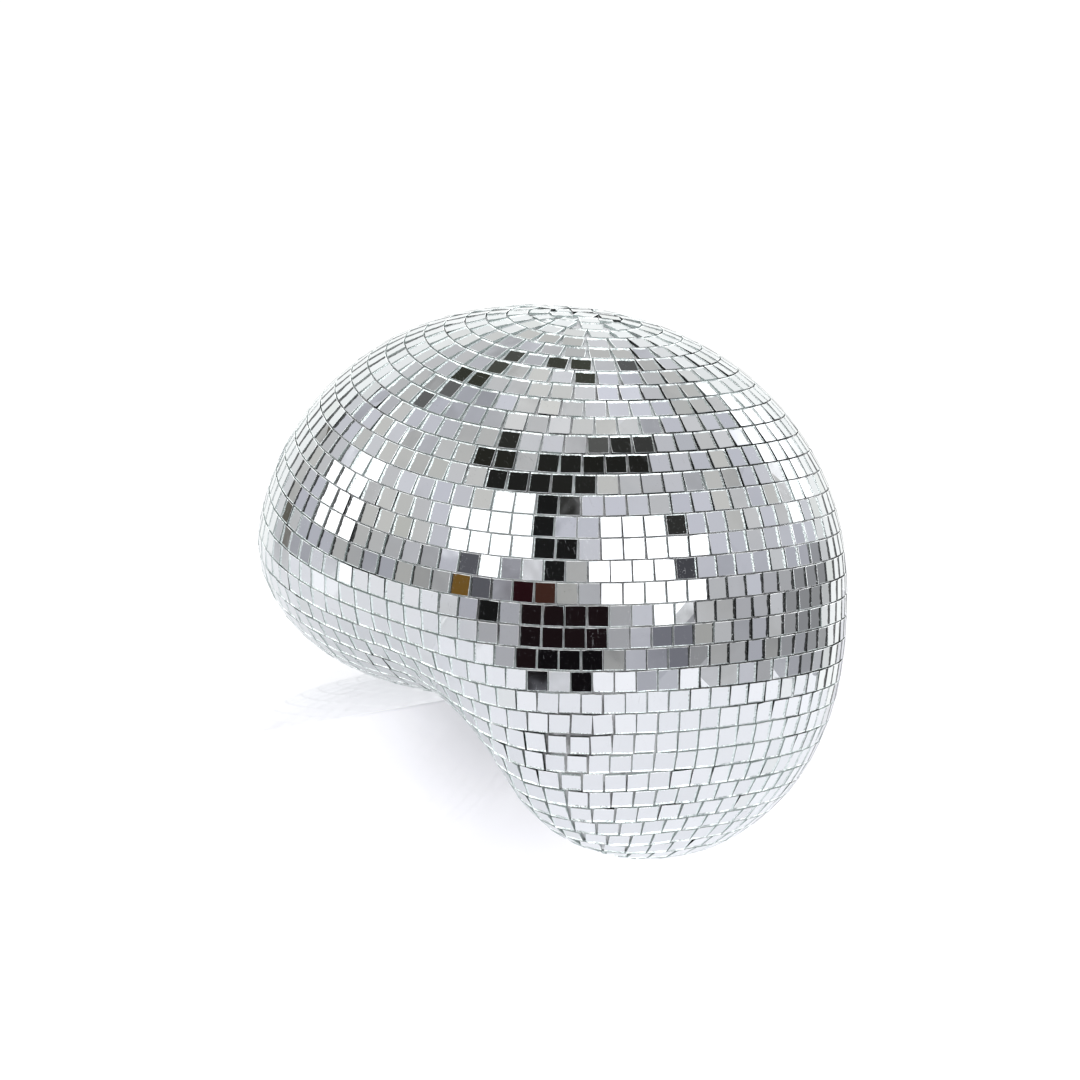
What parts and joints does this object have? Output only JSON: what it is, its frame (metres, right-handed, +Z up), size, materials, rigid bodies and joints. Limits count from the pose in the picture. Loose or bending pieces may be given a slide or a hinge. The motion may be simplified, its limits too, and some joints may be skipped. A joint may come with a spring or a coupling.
{
  "type": "melted mirror ball",
  "caption": "Mirror ball in a melted shape that sits on a shelf and droops over its edge, covered in rows of square glass mirror tiles.",
  "frame": {"origin": "centre of the flat seat face under the rear lobe, on the shelf's surface", "axes": "+Z up; -Y is the front, where the ball droops past the shelf's edge; +Y runs back along the longest side; +X to the right seen from the front"},
  "size_m": [0.2684, 0.3084, 0.2667],
  "materials": {
    "mirror_glass": "silvered glass, clear, flat, cut edges",
    "moulded_shell": "moulded glass-fibre shell, pale grey primer under adhesive",
    "seam_band": "raw moulded glass fibre",
    "seat_pad": "fine-textured non-slip rubber",
    "ballast": "as cast, dark grey",
    "screws": "zinc plated"
  },
  "bodies": {
    "root": {"shell_left": "moulded_shell", "shell_right": "moulded_shell", "seam_band": "seam_band", "ballast_block": "ballast", "ballast_screws": "screws", "seat_pad": "seat_pad", "mirror_pole_tile": "mirror_glass", "mirror_fill": "mirror_glass", "mirror_row_01": "mirror_glass", "mirror_row_02": "mirror_glass", "mirror_row_03": "mirror_glass", "mirror_row_04": "mirror_glass", "mirror_row_05": "mirror_glass", "mirror_row_06": "mirror_glass", "mirror_row_07": "mirror_glass", "mirror_row_08": "mirror_glass", "mirror_row_09": "mirror_glass", "mirror_row_10": "mirror_glass", "mirror_row_11": "mirror_glass", "mirror_row_12": "mirror_glass", "mirror_row_13": "mirror_glass", "mirror_row_14": "mirror_glass", "mirror_row_15": "mirror_glass", "mirror_row_16": "mirror_glass", "mirror_row_17": "mirror_glass", "mirror_row_18": "mirror_glass", "mirror_row_19": "mirror_glass", "mirror_row_20": "mirror_glass", "mirror_row_21": "mirror_glass", "mirror_row_22": "mirror_glass", "mirror_row_23": "mirror_glass", "mirror_row_24": "mirror_glass", "mirror_row_25": "mirror_glass", "mirror_row_26": "mirror_glass", "mirror_row_27": "mirror_glass", "mirror_row_28": "mirror_glass", "mirror_row_29": "mirror_glass", "mirror_row_30": "mirror_glass", "mirror_row_31": "mirror_glass", "mirror_row_32": "mirror_glass", "mirror_row_33": "mirror_glass", "mirror_row_34": "mirror_glass", "mirror_row_35": "mirror_glass", "mirror_row_36": "mirror_glass", "mirror_row_37": "mirror_glass"}
  },
  "joints": []
}
